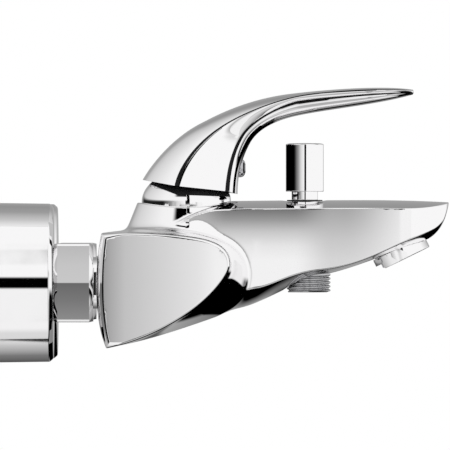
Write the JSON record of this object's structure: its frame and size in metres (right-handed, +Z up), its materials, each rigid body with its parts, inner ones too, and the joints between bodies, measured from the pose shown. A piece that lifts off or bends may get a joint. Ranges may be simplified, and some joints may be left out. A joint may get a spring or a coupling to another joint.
{
  "type": "wall mounted bath faucet",
  "caption": "Single lever bath and shower mixer for a wall: lateral arms, flat topped spout, arched lever, pull-up diverter and threaded hose outlet.",
  "frame": {"origin": "on the finished wall plane, midway between the axes of the two G 1/2 wall threads", "axes": "+X out of the wall along the spout, +Y along the line through both inlets, +Z up"},
  "size_m": [0.2284, 0.2256, 0.1311],
  "materials": {
    "chrome": "mirror polished chrome plate on cast brass",
    "brass": "machined, unplated",
    "steel": "turned stainless steel",
    "rubber": "moulded sealing rubber",
    "ceramic": "lapped alumina",
    "cartridge_plastic": "moulded acetal",
    "valve_plastic": "moulded acetal",
    "aerator_plastic": "moulded grey plastic",
    "indicator": "glossy dark plug"
  },
  "bodies": {
    "mixer": {"wall_union_left": "chrome", "wall_union_right": "chrome", "escutcheon_left": "chrome", "escutcheon_right": "chrome", "union_nut_left": "chrome", "union_nut_right": "chrome", "inlet_tailpiece_left": "chrome", "inlet_tailpiece_right": "chrome", "inlet_washer_left": "rubber", "inlet_washer_right": "rubber", "inlet_strainer_left": "steel", "inlet_strainer_right": "steel", "body": "chrome", "cartridge_seal": "rubber", "cartridge_base": "cartridge_plastic", "fixed_disc": "ceramic", "cartridge_housing": "cartridge_plastic", "retaining_nut": "brass", "dome_cover": "chrome", "diverter_bonnet": "chrome", "diverter_gland_ring": "rubber", "diverter_spring": "steel", "outlet_nipple": "chrome", "outlet_gasket": "rubber", "check_cage": "valve_plastic", "check_spring": "steel", "aerator_housing": "chrome", "aerator_gasket": "rubber", "aerator_insert": "aerator_plastic", "aerator_screen": "aerator_plastic"},
    "turret": {"cartridge_turret": "cartridge_plastic", "spindle_pin": "steel"},
    "lever": {"lever": "chrome", "spindle": "steel", "indicator_plug": "indicator", "grub_screw": "steel"},
    "disc": {"moving_disc": "ceramic", "disc_carrier": "cartridge_plastic"},
    "diverter": {"diverter_knob": "chrome", "diverter_rod": "steel", "diverter_valve": "brass", "diverter_lower_seal": "rubber", "diverter_upper_seal": "rubber"},
    "check": {"check_poppet": "valve_plastic"}
  },
  "joints": [
    {"name": "lever_turn", "type": "hinge", "parent": "mixer", "child": "turret", "pos_m": [0.0885, 0, 0.0455], "axis": [0, 0, 1], "range_deg": [-45, 45]},
    {"name": "lever_lift", "type": "hinge", "parent": "turret", "child": "lever", "pos_m": [0.0885, 0, 0.0455], "axis": [0, -1, 0], "range_deg": [0, 22]},
    {"name": "disc_slide", "type": "slide", "parent": "turret", "child": "disc", "axis": [1, 0, 0], "range_m": [0, 0.005]},
    {"name": "diverter_pull", "type": "slide", "parent": "mixer", "child": "diverter", "axis": [0, 0, 1], "range_m": [0, 0.0083], "stiffness_N_per_m": 250, "springref_m": -0.006, "deforming": ["diverter_spring"]},
    {"name": "check_open", "type": "slide", "parent": "mixer", "child": "check", "axis": [0, 0, -1], "range_m": [0, 0.0015], "stiffness_N_per_m": 60, "springref_m": -0.002, "deforming": ["check_spring"]}
  ],
  "couplings": [
    {"joint": "disc_slide", "follows": "lever_lift", "m_per_rad": 0.013}
  ]
}
